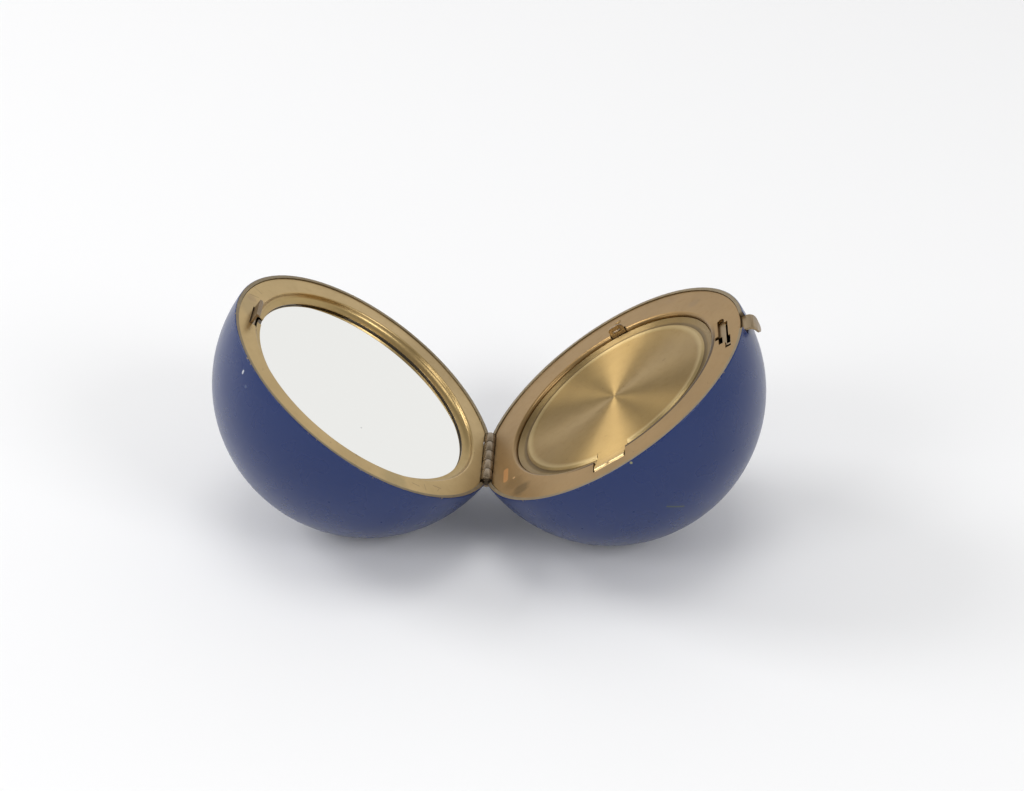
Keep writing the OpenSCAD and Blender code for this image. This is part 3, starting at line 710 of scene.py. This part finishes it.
# The pin is painted nearly black, as painted shade in the hollow ends of the knuckles.
pin_painted_shade = brass("pin_painted_shade", POWDER, (0.13, 0.095, 0.06), (0.06, 0.045, 0.03), (0.35, 0.5), mottled=0.5)
pin_r, peened_r = 0.5, 0.62
shank_end, pin_end = 7.32, 7.55
pin = spun("pin", rounded([
    (0, -pin_end, 0), (0, pin_end, 0), (peened_r, pin_end, 0.2), (peened_r, shank_end, 0),
    (pin_r, shank_end, 0), (pin_r, -shank_end, 0), (peened_r, -shank_end, 0),
    (peened_r, -pin_end, 0.2)]), turns=48)
pin.data.transform(Matrix.Translation((-hinge_r, 0, 0)) @ Matrix.Rotation(math.pi / 2, 4, "X"))
finished(laid_over(pin, POWDER), "case_hinge_pin", "powder_half", pin_painted_shade, "hinge_pin", edge=0)
softened("lid_hinge_pin", "lid_pin", "powder_half", roll_brass, edge=0.08)

# The mirror bezel
# A brass ring pressed into the rim of the other half. Inside its flat face it curves down to a
# thin lip that holds the glass by the edge.
lip_r = 20.4
mirror_drop = 1.65
cove_r = 1.4
lip_t = 0.1
lip_gap = 0.05
lip_under = -mirror_drop + lip_gap
wall_r = lip_r + cove_r
bend_r = 0.3
edge_r = 0.07
striker_slot_half = 2.7
striker_slot_x0, striker_slot_x1 = lip_r + 0.8, 22.981
barb_slot_x0, barb_slot_x1, barb_slot_y0 = lip_r - 0.5, lip_r + 0.9, latch_y + 0.9
quarter = np.radians(np.linspace(0, 90, 25))
cove_top = plate_top - bend_r
cove = np.stack([lip_r + cove_r * np.cos(quarter),
                 cove_top - (cove_top - lip_under - lip_t) * np.sin(quarter)], 1)
under = np.stack([lip_r + (cove_r + plate_t) * np.cos(quarter),
                  plate_under - (plate_under - lip_under) * np.sin(quarter)], 1)
bezel = spun("bezel", np.vstack([
    [(skirt_r, -skirt_drop)],
    arc((shell_r_in - seam - edge_r, plate_top - edge_r), edge_r, 0, 90, 6),
    arc((wall_r + bend_r, cove_top), bend_r, 90, 180, 8),
    cove[1:],
    under[::-1],
    [(skirt_r - plate_t, plate_under), (skirt_r - plate_t, -skirt_drop)]]))
shaped(bezel, "DIFFERENCE", [
    block(*hinge_room),
    block((striker_slot_x0, latch_y - striker_slot_half, lip_under),
          (striker_slot_x1, latch_y + striker_slot_half, over)),
    block((barb_slot_x0, barb_slot_y0, lip_under), (barb_slot_x1, latch_y + striker_slot_half, over)),
])
ink = (0.13, 0.085, 0.045)
bezel_brass = brass("bezel_brass", MIRROR, (0.515, 0.37, 0.172), (0.445, 0.318, 0.144), (0.3, 0.4), [
    # Painted shade: the cove, which curves down to the glass, is coloured darker.
    (ring(lip_r, wall_r - 0.3, 0.3, 0.3), (0.38, 0.27, 0.11), 0.6),
    (smudge((-11.5, 18.8, plate_top), 9.5, 0.5), (0.39, 0.275, 0.122), 0.9),
    (smudge((-7.8, -22.4, plate_top), 3.4), (0.385, 0.29, 0.135), 0.8),
    (smudge((24.2, 1.8, plate_top), 4.0), (0.4, 0.295, 0.145), 0.8),
    (scratch((-11.2, -20.3, plate_top), (-12.6, -20.0, plate_top), 0.14), ink, 0.6),
    (scratch((-13.4, -18.6, plate_top), (-13.9, -19.9, plate_top), 0.12), ink, 0.5),
    (scratch((-15.1, -17.4, plate_top), (-16.6, -16.9, plate_top), 0.14), ink, 0.6),
    (scratch((-16.0, -18.3, plate_top), (-16.3, -17.2, plate_top), 0.1), ink, 0.4),
    (scratch((24.3, 5.0, plate_top), (22.6, 5.6, plate_top), 0.16), ink, 0.6),
    (scratch((24.0, 8.2, plate_top), (22.2, 7.4, plate_top), 0.14), ink, 0.5),
    (smudge((23.6, 4.2, plate_top), 1.2), (0.3, 0.2, 0.12), 0.4)])
finished(laid_over(bezel, MIRROR), "bezel_ring", "mirror_half", bezel_brass, "mirror_bezel")

# The mirror
# A disc of silvered glass. The silvering lies a little deeper than the face, which leaves a step
# at the edge, where the bezel laps over it. The step and the rim of the silvering are painted dark,
# partly as the glass's dark ground edge and partly as painted shadow of the lip. It has one tiny flaw.
glass_r = 21.2
glass_t = 1.2
glass_under = -mirror_drop - glass_t
silver_r = 20.46
silver_deep = 0.22
silver_top = -mirror_drop - silver_deep
silvering, tree, shader = new_material("silvering")
place = on_half(tree, MIRROR)
level = node(tree, "VectorMath", {0: place, 1: (1, 1, 0)}, operation="MULTIPLY").outputs[0]
radius = node(tree, "VectorMath", {0: level}, operation="LENGTH").outputs["Value"]
ragged = calc(tree, "MULTIPLY", noise(tree, place, 1.2, 3.0), 0.08)
# The rim of the silvering and the step are painted dark: partly the glass's dark ground edge, partly
# painted shadow of the lip.
edge = between(tree, calc(tree, "ADD", radius, ragged), silver_r - 0.05, silver_r + 0.02)
silver = mix(tree, edge, (0.89, 0.89, 0.865), (0.1, 0.08, 0.06))
silver = marked(tree, place, silver, [(smudge((-1.2, -10.9, silver_top), 0.16), (0.2, 0.2, 0.22), 0.8)])
tree.links.new(silver, shader.inputs["Base Color"])
shader.inputs["Metallic"].default_value = 1.0
shader.inputs["Roughness"].default_value = 0.03
glass = spun("glass", rounded([
    (glass_r, glass_under, 0.1), (glass_r, -mirror_drop, 0.15), (silver_r, -mirror_drop, 0.02),
    (silver_r, silver_top, 0.02), (0, silver_top, 0), (0, glass_under, 0)]))
finished(laid_over(glass, MIRROR), "mirror_disc", "mirror_half", silvering, "mirror_glass",
         edge=0)

# Behind the mirror and under the plate
# The striker is a bent tongue under the slot of the bezel. A card and a pan press the glass up.
# The card, the pan, the powder well and the spring of the latch keep their plain solids.
tongue_brass = brass("tongue_brass", MIRROR, (0.32, 0.235, 0.15), (0.22, 0.16, 0.1), (0.35, 0.5),
                     mottled=0.3)
softened("striker", "striker_tongue", "mirror_half", tongue_brass)
card, tree, shader = new_material("grey_card")
fibres = noise(tree, on_half(tree, MIRROR), 3.0, 5.0)
tree.links.new(mix(tree, fibres, (0.16, 0.14, 0.11), (0.22, 0.2, 0.16)), shader.inputs["Base Color"])
shader.inputs["Roughness"].default_value = 0.9
spring_steel, tree, shader = new_material("spring_steel")
temper = noise(tree, on_half(tree, POWDER), 1.5, 4.0)
steel_colour = mix(tree, temper, (0.28, 0.26, 0.23), (0.42, 0.4, 0.36))
tree.links.new(steel_colour, shader.inputs["Base Color"])
shader.inputs["Metallic"].default_value = 1.0
shader.inputs["Roughness"].default_value = 0.35
for name, finish in (("powder_well", plate_brass), ("latch_spring", spring_steel),
                     ("mirror_card", card), ("mirror_pan", dull[MIRROR])):
    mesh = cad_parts[name].data
    mesh.materials.clear()
    mesh.materials.append(finish)
